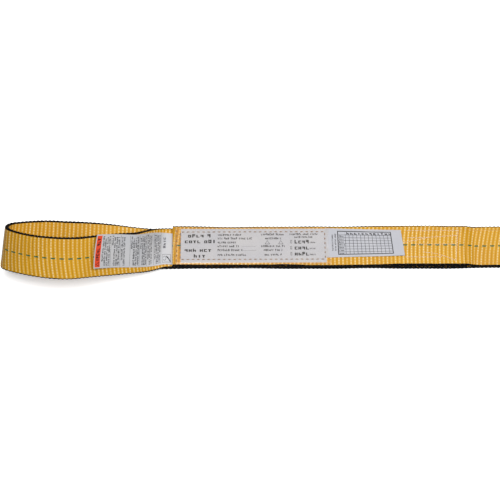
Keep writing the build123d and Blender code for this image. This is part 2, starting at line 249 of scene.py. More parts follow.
class Route:
    """The middle surface of the whole webbing: centres and across directions by distance."""

    def __init__(self):
        left_fork = THROAT_X - FORK
        right_fork = OTHER_THROAT_X + FORK
        stretches = [("lap_end", straight_run(LAP_END_X, left_fork, LEVEL + PLY / 2))]
        stretches += [(f"left_{name}", run) for name, run in left_loop()]
        stretches.append(("left_lower_fork", straight_run(left_fork, right_fork, PLY / 2)))
        stretches += [(f"right_{name}", run) for name, run in right_loop()]
        stretches.append(("right_fork", top_run(right_fork, THROAT_X)))
        starts = {}
        centres = []
        across = []
        for name, (some_centres, some_across) in stretches:
            starts[name] = len(centres)
            centres.extend(some_centres[:-1])
            across.extend(some_across[:-1])
        centres.append(stretches[-1][1][0][-1])
        across.append(stretches[-1][1][1][-1])
        self.centres = np.array(centres)
        self.across = np.array(across)
        steps = np.linalg.norm(np.diff(self.centres, axis=0), axis=1)
        self.distance = np.concatenate([[0], np.cumsum(steps)])
        self.marks = {name: self.distance[index] for name, index in starts.items()}
        self.marks["hem"] = self.distance[-1]
        tangents = unit(np.gradient(self.centres, self.distance, axis=0))
        self.normals = unit(np.cross(self.across, tangents))

    def lookup(self, values, at):
        """A vector that varies along the route, at some distances."""
        return np.stack([np.interp(at, self.distance, values[:, axis]) for axis in range(3)], axis=-1)

    def at(self, distance, across, lift):
        """Points at a distance along, an offset across and a height above the middle surface."""
        distance = np.asarray(distance, float)
        centre = self.lookup(self.centres, distance)
        side = unit(self.lookup(self.across, distance))
        normal = unit(self.lookup(self.normals, distance))
        return centre + side * np.asarray(across)[..., None] + normal * np.asarray(lift)[..., None]

    def lap_at(self, x):
        """Distance at a place of the lap ply."""
        return self.marks["lap_end"] + LAP_END_X - x

    def back_at(self, x):
        """Distance at a place of the back ply."""
        return self.marks["left_lower_fork"] + x - (THROAT_X - FORK)

    def top_at(self, x):
        """Distance at a place of the top ply."""
        first = int(np.searchsorted(self.distance, self.marks["right_fork"]))
        return float(np.interp(-x, -self.centres[first:, 0], self.distance[first:]))


route = Route()


# ================================================================ weave of the webbing
RIB_PITCH = 4.83 * MM           # one rib of the weave, measured along the webbing
RIB_DEPTH = 0.34 * MM           # height of a rib over the valleys beside it
TRACER_PITCH = 2 * RIB_PITCH
EDGE_ROUND = 1.5 * MM           # how far the rounded selvedge reaches in
EDGE_DENT = 0.55 * MM           # how far the selvedge dips between two picks
STATION = RIB_PITCH / 6         # spacing of the ribbon's rings
COLUMNS = 22                    # points across each face
SIDE_POINTS = 5                 # points round each selvedge
NOSE_RINGS = 4                  # rings that round off a cut end
LAP_LEAN = -0.09                # lean of the ribs at the lap's end of the webbing
TOP_LEAN = 0.18                 # added where the webbing has come round to the top
TWO_PLY_LEAN = 0.1              # added again past the step off the lap
LEAN_CHANGE = 200 * MM          # length over which the lean changes round the eye
LEAN_STEP = 16 * MM             # and past the step
RIB_BOW = 1.4 * MM              # how far a rib's ends trail behind its middle
# The webbing lies neither quite straight nor everywhere of one width. Slow waves: reach, length, phase.
WANDER = ((0.5 * MM, 61 * MM, 0.0), (0.3 * MM, 23 * MM, 1.1))
SWELL = ((0.25 * MM, 37 * MM, 2.0), (0.15 * MM, 11 * MM, 0.0))


def lean(distance):
    """How far ribs lean, per metre across: one way at the lap's end, the other way on top."""
    on_top_ply = smoothstep((distance - route.marks["left_lower_fork"]) / LEAN_CHANGE)
    two_ply = smoothstep((route.top_at(LAP_END_X) - distance) / LEAN_STEP)
    return LAP_LEAN + on_top_ply * (TOP_LEAN + TWO_PLY_LEAN * two_ply)


def weft_of(distance, across):
    """The weave's own coordinate: ribs lean and bow a little."""
    bow = RIB_BOW * (across / HALF) ** 2
    return distance + lean(distance) * across + bow


def waves(distance, parts):
    """A sum of slow waves along the webbing."""
    return sum(reach * np.sin(distance / length + phase) for reach, length, phase in parts)


def cross_section():
    """Offsets across and up of one ring of the ribbon, and how much relief each point takes."""
    inner = HALF - EDGE_ROUND
    across = list(np.linspace(-inner, inner, COLUMNS))
    height = [PLY / 2] * COLUMNS
    relief = [1.0] * COLUMNS
    for number in range(1, SIDE_POINTS + 1):
        angle = math.pi / 2 - math.pi * number / (SIDE_POINTS + 1)
        across.append(inner + EDGE_ROUND * math.cos(angle) ** 0.7)
        height.append(PLY / 2 * math.sin(angle))
        relief.append(0.0)
    across += [-value for value in across]
    height += [-value for value in height]
    relief += relief
    return np.array(across), np.array(height), np.array(relief)


def station_row(start, end):
    """Distances of the rings from start to end, on one grid for the whole webbing."""
    first = math.floor(start / STATION) + 1
    last = math.ceil(end / STATION) - 1
    inside = [STATION * number for number in range(first, last + 1)]
    inside = [value for value in inside if start + STATION / 4 < value < end - STATION / 4]
    return np.array([start] + inside + [end])


def nose_rings(direction):
    """Extra rings that round off a cut end: how far each stands out and its share of thickness."""
    rings = []
    for number in range(1, NOSE_RINGS + 1):
        angle = math.pi / 2 * number / (NOSE_RINGS + 0.35)
        rings.append((direction * PLY / 2 * math.sin(angle), math.cos(angle)))
    return rings


def ribbon(name, start, end, nose_start=False, nose_end=False):
    """A closed solid of webbing between two distances of the route."""
    across, height, relief = cross_section()
    rows = [(distance, 0.0, 1.0) for distance in station_row(start, end)]
    if nose_start:
        rows = [(start, out, share) for out, share in nose_rings(-1)][::-1] + rows
    if nose_end:
        rows = rows + [(end, out, share) for out, share in nose_rings(1)]
    distance = np.array([row[0] for row in rows])[:, None]
    stretch = np.array([row[1] for row in rows])[:, None]
    share = np.array([row[2] for row in rows])[:, None]
    weft = weft_of(distance + stretch, across[None, :])
    crest = 0.5 + 0.5 * np.cos(2 * math.pi * weft / RIB_PITCH)
    sunk = RIB_DEPTH * (1 - crest ** 0.8) * relief
    lift = height[None, :] * share - np.sign(height) * sunk * share
    dent = EDGE_DENT * (1 - crest) * (1 - relief) * np.sign(across)
    drift = waves(distance, WANDER) + waves(distance, SWELL) * across[None, :] / HALF
    points = route.at(np.broadcast_to(distance, weft.shape), across[None, :] - dent + drift, lift)
    middle = np.zeros(len(rows))
    ahead = route.at(distance[:, 0] + STATION, middle, middle)
    behind = route.at(distance[:, 0] - STATION, middle, middle)
    points = points + unit(ahead - behind)[:, None, :] * stretch[:, :, None]
    obj = mesh_object(name, points.reshape(-1, 3), tube_faces(len(rows), len(across)))
    for cap in obj.data.polygons[-2:]:
        cap.use_smooth = False
    add_values(obj, "weft", weft)
    add_values(obj, "across", np.broadcast_to(across[None, :], weft.shape))
    obj.data.materials.append(WEBBING)
    return obj


def tube_faces(rings, around):
    """Faces of a closed tube and its two ends, the ends last; its points run ring by ring."""
    faces = []
    for ring in range(rings - 1):
        for step in range(around):
            ahead = (step + 1) % around
            faces.append((ring * around + step, ring * around + ahead,
                          (ring + 1) * around + ahead, (ring + 1) * around + step))
    faces.append(tuple(range(around))[::-1])
    faces.append(tuple((rings - 1) * around + step for step in range(around)))
    return faces


def mesh_object(name, points, faces):
    """A smooth-shaded object from points and faces, normals outwards."""
    mesh = bpy.data.meshes.new(name)
    mesh.from_pydata([tuple(point) for point in points], [], faces)
    mesh.validate()
    mesh.update()
    mesh.polygons.foreach_set("use_smooth", [True] * len(mesh.polygons))
    obj = bpy.data.objects.new(name, mesh)
    bpy.context.scene.collection.objects.link(obj)
    return obj


def add_values(obj, name, values):
    """A number for each point, which a material can read."""
    attribute = obj.data.attributes.new(name, "FLOAT", "POINT")
    attribute.data.foreach_set("value", np.ascontiguousarray(values, np.float32).ravel())


# ================================================================ materials
class Nodes:
    """A short way to build a material's node tree. Inputs may be numbers, colours or other nodes."""

    def __init__(self, name):
        self.material = bpy.data.materials.new(name)
        self.material.use_nodes = True
        self.tree = self.material.node_tree
        self.tree.nodes.clear()
        self.output = self.tree.nodes.new("ShaderNodeOutputMaterial")

    def add(self, kind, inputs=None, **settings):
        """A node of a kind, with its inputs and its own settings."""
        node = self.tree.nodes.new(kind)
        for key, value in settings.items():
            setattr(node, key, value)
        for key, value in (inputs or {}).items():
            self.set(node, key, value)
        return node

    def set(self, node, key, value):
        """Set an input to a number or colour, or link it to another node's output."""
        if isinstance(value, bpy.types.Node):
            value = value.outputs[0]
        if isinstance(value, bpy.types.NodeSocket):
            self.tree.links.new(value, node.inputs[key])
        else:
            node.inputs[key].default_value = value

    def math(self, operation, first, second=0.0, third=0.0):
        """One step of arithmetic on up to three values."""
        inputs = {0: first, 1: second, 2: third}
        return self.add("ShaderNodeMath", inputs, operation=operation).outputs[0]

    def times(self, first, second):
        """The product of two values."""
        return self.math("MULTIPLY", first, second)

    def scaled(self, value, scale, offset):
        """A value times a scale, plus an offset."""
        return self.math("MULTIPLY_ADD", value, scale, offset)

    def wave(self, turns):
        """A cosine: 1 at every whole turn, -1 halfway between."""
        return self.math("COSINE", self.times(turns, 2 * math.pi))

    def smooth(self, value, low, high):
        """0 below low, 1 above high, smooth between."""
        inputs = {"Value": value, "From Min": low, "From Max": high}
        return self.add("ShaderNodeMapRange", inputs, interpolation_type="SMOOTHSTEP").outputs[0]

    def outside(self, value, low, high):
        """1 below low, 0 above high, smooth between."""
        return self.math("SUBTRACT", 1.0, self.smooth(value, low, high))

    def mix(self, share, first, second):
        """The first colour where share is 0, the second where it is 1."""
        node = self.add("ShaderNodeMix", data_type="RGBA")
        self.set(node, "Factor", share)
        for key, value in ((6, first), (7, second)):
            self.set(node, key, value)
        return node.outputs[2]

    def attribute(self, name):
        """A number stored at the mesh's points."""
        return self.add("ShaderNodeAttribute", attribute_name=name).outputs["Fac"]

    def noise(self, vector, scale, detail=3.0):
        """Soft noise from 0 to 1."""
        inputs = {"Vector": vector, "Scale": scale, "Detail": detail, "Roughness": 0.6}
        return self.add("ShaderNodeTexNoise", inputs).outputs["Fac"]

    def stretched_noise(self, place, scales, detail):
        """Soft noise with a scale of its own along x, y and z."""
        mapping = self.add("ShaderNodeMapping", {"Vector": place, "Scale": scales})
        return self.noise(mapping, 1.0, detail)

    def weave_noise(self, weft, across, along_scale, across_scale, detail):
        """Soft noise laid out along and across the webbing."""
        inputs = {"X": self.times(weft, along_scale), "Y": self.times(across, across_scale), "Z": 0.0}
        return self.noise(self.add("ShaderNodeCombineXYZ", inputs), 1.0, detail)

    def place(self):
        """Object coordinates, which are the row frame in metres."""
        return self.add("ShaderNodeTexCoord").outputs["Object"]

    def bump(self, height, distance, strength=1.0, normal=None):
        """A normal tilted by a height, on top of another normal where one is given."""
        inputs = {"Height": height, "Distance": distance, "Strength": strength}
        if normal is not None:
            inputs["Normal"] = normal
        return self.add("ShaderNodeBump", inputs).outputs[0]

    def finish(self, **inputs):
        """End in a principled surface."""
        names = {key.replace("_", " "): value for key, value in inputs.items()}
        surface = self.add("ShaderNodeBsdfPrincipled", names)
        self.tree.links.new(surface.outputs[0], self.output.inputs["Surface"])
        return self.material


def colour(red, green, blue):
    """A colour given as it looks on a screen, 0 to 255, turned into linear light."""
    linear = []
    for value in (red, green, blue):
        share = value / 255
        linear.append(share / 12.92 if share <= 0.04045 else ((share + 0.055) / 1.055) ** 2.4)
    return (*linear, 1.0)


YARN_PITCH = 1.15 * MM          # one column of warp yarn, across the webbing
PICK_PITCH = 3.3 * MM           # spacing of the bright dots of painted highlight along a rib
SELVEDGE = 2.3 * MM             # width of the black selvedge at its widest
SELVEDGE_RAGGED = 1.0 * MM      # how far its inner edge strays


def webbing_material():
    """Ribbed polyester: yellow ground, painted highlights on the rib crests, painted shade in the
    valleys, black selvedges and a green tracer.
    """
    n = Nodes("webbing")
    weft = n.attribute("weft")
    across = n.attribute("across")
    from_middle = n.math("ABSOLUTE", across)
    ribs = n.math("DIVIDE", weft, RIB_PITCH)
    crest = n.scaled(n.wave(ribs), 0.5, 0.5)
    rib_number = n.math("ROUND", ribs)
    rib_highlight_noise = n.add("ShaderNodeTexWhiteNoise", {"W": rib_number}, noise_dimensions="1D").outputs["Value"]
    fibres = n.weave_noise(weft, across, 240, 5200, 4.0)
    streaks = n.weave_noise(weft, across, 60, 900, 3.0)
    patches = n.noise(n.place(), 22.0, 2.0)

    # Painted highlight: the rib crests are coloured pale where they catch the light, unevenly from rib to
    # rib and from pick to pick.
    highlight_dots = n.math("ADD", n.math("DIVIDE", across, PICK_PITCH), n.times(rib_highlight_noise, 3.0))
    painted_highlight = n.times(n.smooth(crest, 0.62, 0.95), n.times(streaks, 1.5))
    painted_highlight = n.times(painted_highlight, n.scaled(rib_highlight_noise, 0.7, 0.5))
    painted_highlight = n.times(painted_highlight, n.scaled(n.wave(highlight_dots), 0.42, 0.74))
    deep = n.mix(n.smooth(patches, 0.35, 0.7), colour(204, 148, 8), colour(212, 158, 14))
    # Painted shade: the valleys between the ribs are coloured darker than the ground.
    painted_valley_shade = n.mix(n.smooth(crest, 0.0, 0.2), colour(186, 128, 6), deep)
    ground = n.mix(painted_highlight, painted_valley_shade, colour(236, 212, 160))
    ground = n.mix(n.times(n.smooth(fibres, 0.5, 0.8), 0.2), ground, colour(182, 118, 8))

    # Green tracer: every second pick floats over the middle.
    dash = n.math("FRACT", n.math("DIVIDE", weft, TRACER_PITCH))
    on_dash = n.times(n.smooth(dash, 0.02, 0.08), n.outside(dash, 0.52, 0.6))
    tracer = n.times(on_dash, n.outside(from_middle, 0.62 * MM, 0.95 * MM))
    ground = n.mix(tracer, ground, colour(22, 92, 66))

    # Black selvedges, with flecks of yellow pick ends in them.
    edge = n.math("GREATER_THAN", from_middle, n.scaled(streaks, SELVEDGE_RAGGED, HALF - SELVEDGE))
    black = n.mix(n.smooth(fibres, 0.45, 0.8), colour(8, 8, 10), colour(28, 28, 32))
    flecks = n.weave_noise(weft, across, 420, 1300, 2.0)
    black = n.mix(n.smooth(flecks, 0.62, 0.72), black, colour(168, 116, 26))
    shade = n.mix(edge, ground, black)

    # Warp yarns run along the webbing in columns; floats of neighbouring columns are staggered.
    column = n.math("DIVIDE", across, YARN_PITCH)
    stagger = n.times(n.math("ROUND", column), 0.5)
    floats = n.wave(n.times(n.math("ADD", ribs, stagger), 2.0))
    yarn = n.scaled(floats, 0.35, n.times(n.wave(column), 0.65))
    normal = n.bump(yarn, 0.09 * MM, 0.8)
    normal = n.bump(fibres, 0.06 * MM, 0.6, normal)
    yellow = n.math("SUBTRACT", 1.0, edge)
    return n.finish(Base_Color=shade, Roughness=n.scaled(fibres, 0.25, 0.42), Normal=normal,
                    Sheen_Weight=n.times(yellow, 0.1), Sheen_Roughness=0.4,
                    Specular_IOR_Level=n.scaled(yellow, 0.27, 0.08))


def thread_material(name, light, dark):
    """Twisted sewing thread."""
    n = Nodes(name)
    place = n.place()
    tone = n.noise(place, 900.0)
    twist = n.add("ShaderNodeTexWave", {"Vector": place, "Scale": 700.0, "Distortion": 2.0},
                  bands_direction="DIAGONAL").outputs["Fac"]
    normal = n.bump(twist, 0.05 * MM, 0.9)
    return n.finish(Base_Color=n.mix(tone, dark, light), Roughness=0.55, Normal=normal, Sheen_Weight=0.3)


def sheet_material(name, base, warm):
    """A coated label: slight blotches, a fine cloth grain under the coating, faint creases."""
    n = Nodes(name)
    place = n.place()
    blotch = n.noise(place, 30.0)
    grain = n.noise(place, 2600.0, 2.0)
    crease = n.stretched_noise(place, (14.0, 90.0, 40.0), 3.0)
    shade = n.mix(n.smooth(blotch, 0.35, 0.75), base, warm)
    normal = n.bump(crease, 0.5 * MM, 0.25)
    normal = n.bump(grain, 0.03 * MM, 0.5, normal)
    return n.finish(Base_Color=shade, Roughness=n.scaled(grain, 0.2, 0.42), Normal=normal,
                    Specular_IOR_Level=0.5)


def ink_material(name, shade, faded):
    """Printed ink, worn a little thin in places."""
    n = Nodes(name)
    place = n.place()
    wear = n.smooth(n.noise(place, 1500.0), 0.5, 0.75)
    normal = n.bump(n.noise(place, 3000.0, 2.0), 0.01 * MM, 0.5)
    return n.finish(Base_Color=n.mix(wear, shade, faded), Roughness=0.5, Normal=normal)


def vinyl_material():
    """Clear flexible vinyl: mostly see-through, glossy, with soft waves and fine scratches."""
    n = Nodes("clear_vinyl")
    place = n.place()
    waves = n.stretched_noise(place, (22.0, 60.0, 60.0), 2.0)
    scratches = n.stretched_noise(place, (300.0, 3800.0, 900.0), 3.0)
    normal = n.bump(waves, 1.2 * MM, 0.35)
    normal = n.bump(scratches, 0.02 * MM, 0.4, normal)
    gloss = n.add("ShaderNodeBsdfGlossy", {"Color": (1, 1, 1, 1), "Roughness": 0.2, "Normal": normal})
    clear = n.add("ShaderNodeBsdfTransparent", {"Color": (1.0, 0.99, 0.975, 1)})
    haze = n.add("ShaderNodeBsdfDiffuse", {"Color": colour(214, 206, 196), "Normal": normal})
    facing = n.add("ShaderNodeFresnel", {"IOR": 1.5, "Normal": normal})
    body = n.add("ShaderNodeMixShader", {0: 0.025, 1: clear, 2: haze})
    mixed = n.add("ShaderNodeMixShader", {0: n.times(facing, 0.4), 1: body, 2: gloss})
    n.set(n.output, "Surface", mixed)
    return n.material


def floor_material():
    """Pale seamless paper, which throws less light back on to the webbing than it shows the camera."""
    n = Nodes("studio_floor")
    seen = n.add("ShaderNodeLightPath").outputs["Is Camera Ray"]
    paper = n.mix(n.noise(n.place(), 3.0, 2.0), (0.95, 0.95, 0.95, 1), (0.97, 0.97, 0.97, 1))
    shade = n.mix(seen, (0.25, 0.25, 0.25, 1), paper)
    return n.finish(Base_Color=shade, Roughness=0.9, Specular_IOR_Level=0.1,
                    Emission_Color=(1, 1, 1, 1), Emission_Strength=n.scaled(seen, 0.4, 0.06))


WEBBING = webbing_material()
LAP_THREAD = thread_material("lap_thread", colour(244, 222, 196), colour(214, 178, 138))
BODY_THREAD = thread_material("body_thread", colour(240, 196, 118), colour(206, 150, 60))
LABEL_THREAD = thread_material("label_thread", colour(170, 130, 86), colour(112, 78, 46))
ID_SHEET = sheet_material("id_label_sheet", colour(182, 184, 193), colour(189, 190, 196))
SHEET = sheet_material("inspection_sheet", colour(180, 181, 188), colour(188, 188, 193))
WARNING_SHEET = sheet_material("warning_sheet", colour(188, 189, 193), colour(197, 196, 197))
INK = ink_material("dark_ink", colour(14, 14, 18), colour(40, 40, 46))
PALE_INK = ink_material("pale_ink", colour(78, 78, 84), colour(112, 112, 118))
RED_INK = ink_material("red_ink", colour(226, 70, 34), colour(232, 92, 56))
VINYL = vinyl_material()


# ================================================================ webbing pieces
UNDER_HEM = 3 * MM              # how far the pieces of an eye reach in under the folded end
SWING_START = 1 * MM            # an eye's swing is spread from here
SWING_END = 17 * MM             # to here, from the throat
LEG_BLEND = 5 * MM              # reach of a blend each side of the leg's pivot
SHOULDER_BLEND = 20 * MM        # of the front shoulder
APEX_BLEND = 9 * MM             # of the tip
HALF_ROOT = 30 * MM             # throat to where the root pieces of an eye meet its legs


def body_point(x):
    """A point of the seam between the body's two plies."""
    return (x, BODY_Y, FLOOR_Z + LEVEL)


def root_cut(side, level):
    """Distance at which a leg's root piece ends, on the upper or lower leg."""
    fork = route.marks[f"{side}_fork" if level == "upper" else f"{side}_lower_fork"]
    outward = 1 if (side == "left") == (level == "upper") else -1
    return fork + outward * (HALF_ROOT - FORK)


def swing_blend(piece, side):
    """Bake a piece's place into its mesh; the ends of the eye's swing are worked out for either eye but
    not used.
    """
    if side == "left":
        ends = (THROAT_X + SWING_START, THROAT_X - SWING_END)
        bodies = ("labelled_body", "left_throat")
    else:
        ends = (OTHER_THROAT_X - SWING_START, OTHER_THROAT_X + SWING_END)
        bodies = ("fourth_body", "right_throat")
    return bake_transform(piece, *bodies, start=body_point(ends[0]), end=body_point(ends[1]))


def blend_about(piece, joint, heading, reach):
    """Bake a piece's place into its mesh; the ends of the reach each side of the joint are worked out but
    not used.
    """
    heading = unit(heading)
    start = pivot(joint) - heading * reach
    end = pivot(joint) + heading * reach
    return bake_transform(piece)


def eye_webbing(side):
    """The webbing of one eye, cut in the middle of each rigid stretch."""
    marks = {name[len(side) + 1:]: at for name, at in route.marks.items() if name.startswith(side)}
    turned = np.array([1, 1, 1]) if side == "left" else np.array([-1, -1, 1])
    mid_leg = (marks["leg_root"] + marks["shoulder"]) / 2
    mid_front_tip = (marks["shoulder"] + marks["bearing"]) / 2
    mid_back_tip = (marks["lower_bearing"] + marks["lower_shoulder"]) / 2
    upper_cut = root_cut(side, "upper")
    lower_cut = root_cut(side, "lower")
    if side == "left":
        upper_start = route.lap_at(THROAT_X + UNDER_HEM)
        lower_end = route.back_at(THROAT_X + UNDER_HEM)
    else:
        upper_start = route.top_at(OTHER_THROAT_X - UNDER_HEM)
        lower_end = route.back_at(OTHER_THROAT_X - UNDER_HEM)

    def stretch(name, first, last, rounded=False):
        """One piece, from first to last as the left eye is travelled; rounded closes its last end."""
        if side == "left":
            return ribbon(f"left_{name}", first, last, nose_end=rounded)
        return ribbon(f"right_{name}", last, first, nose_start=rounded)

    def replaces(piece, *nodes):
        """Hide the CAD nodes of this eye that a piece stands in for."""
        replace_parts(piece, *(f"{side}_{node}" for node in nodes))

    upper_root = swing_blend(stretch("upper_root", upper_start, upper_cut), side)
    lower_root = swing_blend(stretch("lower_root", lower_cut, lower_end), side)
    leg = blend_about(stretch("upper_leg", upper_cut, mid_leg), f"{side}_eye_close",
                      LEG_HEADING * turned, LEG_BLEND)
    shoulder = blend_about(stretch("shoulder", mid_leg, mid_front_tip), f"{side}_front_tip_turn",
                           TIPWARD * turned, SHOULDER_BLEND)
    bearing = blend_about(stretch("bearing", mid_front_tip, mid_back_tip), f"{side}_apex_turn",
                          -RISE * turned, APEX_BLEND)
    lower_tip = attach(stretch("lower_tip", mid_back_tip, marks["lower_shoulder"], rounded=True),
                        f"{side}_back_tip")
    lower_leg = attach(stretch("lower_leg", marks["lower_shoulder"], lower_cut), f"{side}_throat")
    replaces(upper_root, "throat_front_ply")
    replaces(lower_root, "back_leg")
    replaces(leg, "front_leg")
    replaces(shoulder, "front_tip")
    replaces(bearing, "front_tip", "back_tip")
    replaces(lower_tip, "back_tip")
    replaces(lower_leg, "back_leg")


SECTIONS = ("labelled", "second", "third", "fourth")
BODIES = [f"{section}_body" for section in SECTIONS]
BODY_PIECES = 5                 # the first and last are rigid, each of the others crosses one bend
END_CUT = 50 * MM               # from the outermost bends to the cuts beyond them
BEND_X = [pivot(f"body_bend_{number}")[0] for number in (1, 2, 3)]
BODY_CUTS = [BEND_X[0] - END_CUT, (BEND_X[0] + BEND_X[1]) / 2, (BEND_X[1] + BEND_X[2]) / 2,
             BEND_X[2] + END_CUT]


def hold(piece, number):
    """Put the first or last piece of the body on its section; any other piece has its place baked into
    its mesh.
    """
    if number == 0:
        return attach(piece, BODIES[0])
    if number == BODY_PIECES - 1:
        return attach(piece, BODIES[-1])
    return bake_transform(piece)


def body_webbing():
    """The plies of the body, cut between the bends."""
    left = THROAT_X + UNDER_HEM
    right = OTHER_THROAT_X - UNDER_HEM
    lap = ribbon("lap_ply_end", route.marks["lap_end"], route.lap_at(left), nose_start=True)
    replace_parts(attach(lap, BODIES[0]), "lap_ply")
    places = [left, *BODY_CUTS, right]
    for ply, distance_at in (("back", route.back_at), ("top", route.top_at)):
        for number in range(BODY_PIECES):
            ends = [distance_at(places[number]), distance_at(places[number + 1])]
            hem = ply == "top" and number == 0
            if hem:
                ends[0] = route.marks["hem"] - PLY / 2
            piece = ribbon(f"{ply}_ply_{number + 1}", min(ends), max(ends), nose_end=hem)
            section = SECTIONS[min(number, len(SECTIONS) - 1)]
            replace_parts(hold(piece, number), f"{section}_{ply}_ply")


# ================================================================ stitches
def capsule(start, end, normal, radius):
    """Points and faces of one stitch: a bead that dips into the cloth at both ends."""
    rings = 5
    around = 6
    along = end - start
    length = np.linalg.norm(along)
    along = along / length
    side = unit(np.cross(normal, along))
    up = np.cross(along, side)
    points = []
    for ring in range(rings):
        share = ring / (rings - 1)
        thick = radius * (0.35 + 0.65 * math.sin(math.pi * share) ** 0.5)
        sag = radius * 0.9 * (2 * share - 1) ** 2
        middle = start + along * length * share - up * sag
        for step in range(around):
            angle = 2 * math.pi * step / around
            points.append(middle + (side * math.cos(angle) + up * math.sin(angle)) * thick)
    return points, tube_faces(rings, around)


def path_places(path, pitch, share):
    """Start and end places of stitches along a path of (x, y) points."""
    path = np.array(path, float)
    steps = np.linalg.norm(np.diff(path, axis=0), axis=1)
    total = np.concatenate([[0], np.cumsum(steps)])
    count = max(1, int(round(total[-1] / pitch)))
    pitch = total[-1] / count
    for number in range(count):
        first = pitch * (number + (1 - share) / 2)
        last = first + pitch * share
        yield [np.array([np.interp(at, total, path[:, axis]) for axis in (0, 1)]) for at in (first, last)]


STITCH_RADIUS = 0.36 * MM
STITCH_STRAY = 0.12 * MM        # how far a stitch may lean to either side of its row


def stitches(name, paths, surface, material, seed, pitch, radius=STITCH_RADIUS, share=0.86):
    """Rows of stitches on a surface, as one piece. surface(x, y, lift) gives a point."""
    rng = random.Random(seed)
    points = []
    faces = []
    for path in paths:
        for first, last in path_places(path, pitch, share):
            shift = rng.uniform(-STITCH_STRAY, STITCH_STRAY)
            start = surface(first[0], first[1] + shift, radius * 0.55)
            end = surface(last[0], last[1] - shift, radius * 0.55)
            above = surface(first[0], first[1], 1 * MM) - surface(first[0], first[1], 0)
            some_points, some_faces = capsule(start, end, unit(above), radius * rng.uniform(0.9, 1.08))
            base = len(points)
            points += some_points
            faces += [tuple(base + index for index in face) for face in some_faces]
    obj = mesh_object(name, points, faces)
    obj.data.materials.append(material)
    return obj


def on_top(x, y, lift):
    """A point on the top ply, x from the labelled throat, y from the body's middle."""
    return route.at(route.top_at(THROAT_X + x), -y, PLY / 2 + lift)


def on_back(x, y, lift):
    """A point on the floor side of the back ply, x and y as on the top ply."""
    return route.at(route.back_at(THROAT_X + x), y, PLY / 2 + lift)


# Rows of the lap seam in mm, x from the labelled throat and y from the body's middle.
LAP_ROWS = (
    ((278, 14.8), (322, 14.8)),
    ((299, 8.5), (315, 10.6), (325.5, 13.8), (338.5, 19.5)),
    ((277, -3.5), (292, -6.3), (307, -9.9), (341, -12.4)),
    ((281, -9.6), (307, -9.9)),
    ((290, -1.3), (338, -1.3)),
    ((281, -18.5), (342, -18.5)),
    ((338.5, 19.5), (341, -1), (343.5, -20)),
)
LAP_PATHS = [[(x * MM, y * MM) for x, y in row] for row in LAP_ROWS]
LAP_RADIUS = 0.46 * MM          # the lap's thread is heavier where it shows
SEAM_PITCH = 3.1 * MM
SEAM_BAR = 6 * MM               # throat to the cross bar of its seam
SEAM_END = 60 * MM              # throat to the seam's far end
SEAM_HALF = 19 * MM             # half the seam's width
EDGE_ROW = 20.3 * MM            # body's middle to the long rows
EDGE_PITCH = 4.6 * MM
EDGE_RADIUS = 0.30 * MM
EDGE_START = 200 * MM           # labelled throat to where the long rows start on the back ply
EDGE_END = 66 * MM              # other throat to where they end
LAP_CLEAR = 4 * MM              # past the step off the lap, to where they start on the top ply
BODY_END = OTHER_THROAT_X - THROAT_X


def body_stitching():
    """Long rows that join the plies, cut where the webbing is cut."""
    places = [EDGE_START, *(x - THROAT_X for x in BODY_CUTS), BODY_END - EDGE_END]
    nodes = ("left_edge_stitching", "second_stitching", "third_stitching", "fourth_stitching", None)
    for number, node in enumerate(nodes):
        left, right = places[number], places[number + 1]
        for face, surface in (("top", on_top), ("back", on_back)):
            start = left
            if number == 0 and face == "top":
                start = LAP_END_X - THROAT_X + STEP_LENGTH + LAP_CLEAR
            rows = [[(start, side * EDGE_ROW), (right, side * EDGE_ROW)] for side in (-1, 1)]
            piece = stitches(f"body_stitches_{face}_{number + 1}", rows, surface, BODY_THREAD,
                             seed=number + 11, pitch=EDGE_PITCH, radius=EDGE_RADIUS)
            hold(piece, number)
            if node and face == "top":
                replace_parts(piece, node)


def throat_paths(near, far):
    """The W pattern that closes a throat: a cross bar and rows that run out in points."""
    side = SEAM_HALF
    quarter = side / 2
    shoulder = near + (far - near) * 0.25
    zigzag = [(shoulder, side), (far, quarter), (shoulder, 0), (far, -quarter), (shoulder, -side)]
    rows = [[(near, y), (shoulder, y)] for y in (-side, -quarter, 0, quarter, side)]
    return [[(near, -side), (near, side)], zigzag] + rows


def seam(name, paths, surface, body, seed, radius=STITCH_RADIUS):
    """Rows of the pale thread that closes the lap and the throats."""
    piece = stitches(name, paths, surface, LAP_THREAD, seed=seed, pitch=SEAM_PITCH, radius=radius)
    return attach(piece, body)


def seams():
    """The lap seam and both throat seams, on the faces where they show."""
    near_throat = throat_paths(SEAM_BAR, SEAM_END)
    far_throat = throat_paths(BODY_END - SEAM_BAR, BODY_END - SEAM_END)
    lap = seam("lap_stitches", LAP_PATHS, on_top, BODIES[0], seed=3, radius=LAP_RADIUS)
    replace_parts(lap, "lap_stitching")
    seam("lap_stitches_back", LAP_PATHS, on_back, BODIES[0], seed=4)
    seam("left_throat_stitches_back", near_throat, on_back, BODIES[0], seed=5)
    throat = seam("right_throat_stitches", far_throat, on_top, BODIES[-1], seed=6)
    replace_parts(throat, "right_throat_stitching")
    seam("right_throat_stitches_back", far_throat, on_back, BODIES[-1], seed=7)


# ================================================================ sheets and print
SHEET_THICK = 0.3 * MM
PRINT_SUNK = 0.02 * MM          # how far print reaches into its sheet
PRINT_RAISED = 0.035 * MM       # how far it stands over it
PRINT_STEP = 6 * MM             # spacing of a mark's points, so that it follows a bent sheet
PAPER, DARK, PALE, RED = range(4)       # places in a sheet's list of materials


